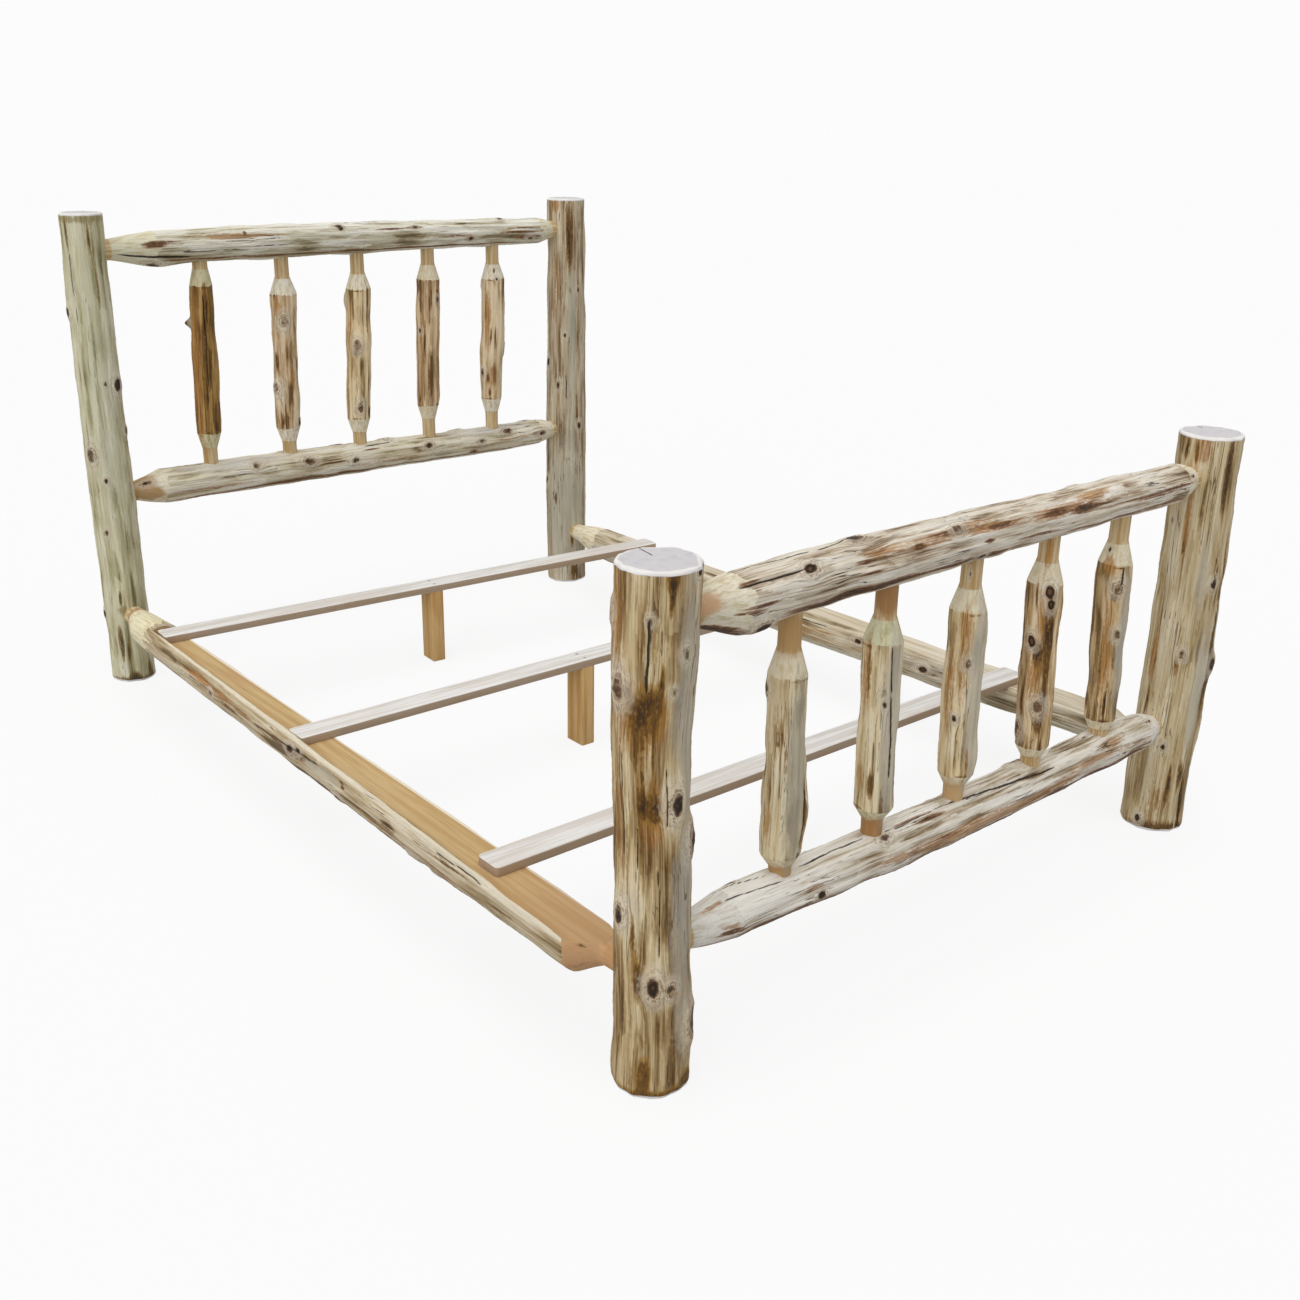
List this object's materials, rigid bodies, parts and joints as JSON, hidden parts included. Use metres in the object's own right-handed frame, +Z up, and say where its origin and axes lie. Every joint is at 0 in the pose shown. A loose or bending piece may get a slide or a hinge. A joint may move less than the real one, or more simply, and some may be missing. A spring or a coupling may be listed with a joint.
{
  "type": "rustic log bed",
  "caption": "Bed of peeled logs with spindled headboard and footboard, side rails sawn to a ledge, and loose slats on centre legs.",
  "frame": {"origin": "on the floor, at the bottom centre of the bed's box", "axes": "+X across the bed towards the right side rail as seen from the foot, +Y from foot to head, +Z up"},
  "size_m": [1.6209, 2.3467, 1.218],
  "materials": {
    "peeled_log": "peeled and left natural",
    "spindle_pole": "peeled, with turned tenons",
    "sawn_slat": "planed, unfinished",
    "sawn_leg": "planed, unfinished",
    "plug": "pared flush",
    "zinc_steel": "zinc plated"
  },
  "bodies": {
    "frame": {"head_post_left": "peeled_log", "head_post_right": "peeled_log", "foot_post_left": "peeled_log", "foot_post_right": "peeled_log", "bolt_plugs": "plug", "headboard_top_rail": "peeled_log", "headboard_lower_rail": "peeled_log", "footboard_top_rail": "peeled_log", "footboard_lower_rail": "peeled_log", "headboard_spindle_1": "spindle_pole", "headboard_spindle_2": "spindle_pole", "headboard_spindle_3": "spindle_pole", "headboard_spindle_4": "spindle_pole", "headboard_spindle_5": "spindle_pole", "footboard_spindle_1": "spindle_pole", "footboard_spindle_2": "spindle_pole", "footboard_spindle_3": "spindle_pole", "footboard_spindle_4": "spindle_pole", "footboard_spindle_5": "spindle_pole", "side_rail_left": "peeled_log", "side_rail_right": "peeled_log", "rail_lag_bolts": "zinc_steel", "lag_washers": "zinc_steel"},
    "slat_set_1": {"slat_1": "sawn_slat", "centre_leg_1": "sawn_leg", "leg_screws_1": "zinc_steel"},
    "slat_set_2": {"slat_2": "sawn_slat", "centre_leg_2": "sawn_leg", "leg_screws_2": "zinc_steel"},
    "slat_set_3": {"slat_3": "sawn_slat", "centre_leg_3": "sawn_leg", "leg_screws_3": "zinc_steel"}
  },
  "joints": [
    {"name": "slat_1_lift", "type": "slide", "parent": "frame", "child": "slat_set_1", "axis": [0, 0, 1], "range_m": [0, 0.3]},
    {"name": "slat_2_lift", "type": "slide", "parent": "frame", "child": "slat_set_2", "axis": [0, 0, 1], "range_m": [0, 0.3]},
    {"name": "slat_3_lift", "type": "slide", "parent": "frame", "child": "slat_set_3", "axis": [0, 0, 1], "range_m": [0, 0.3]}
  ]
}
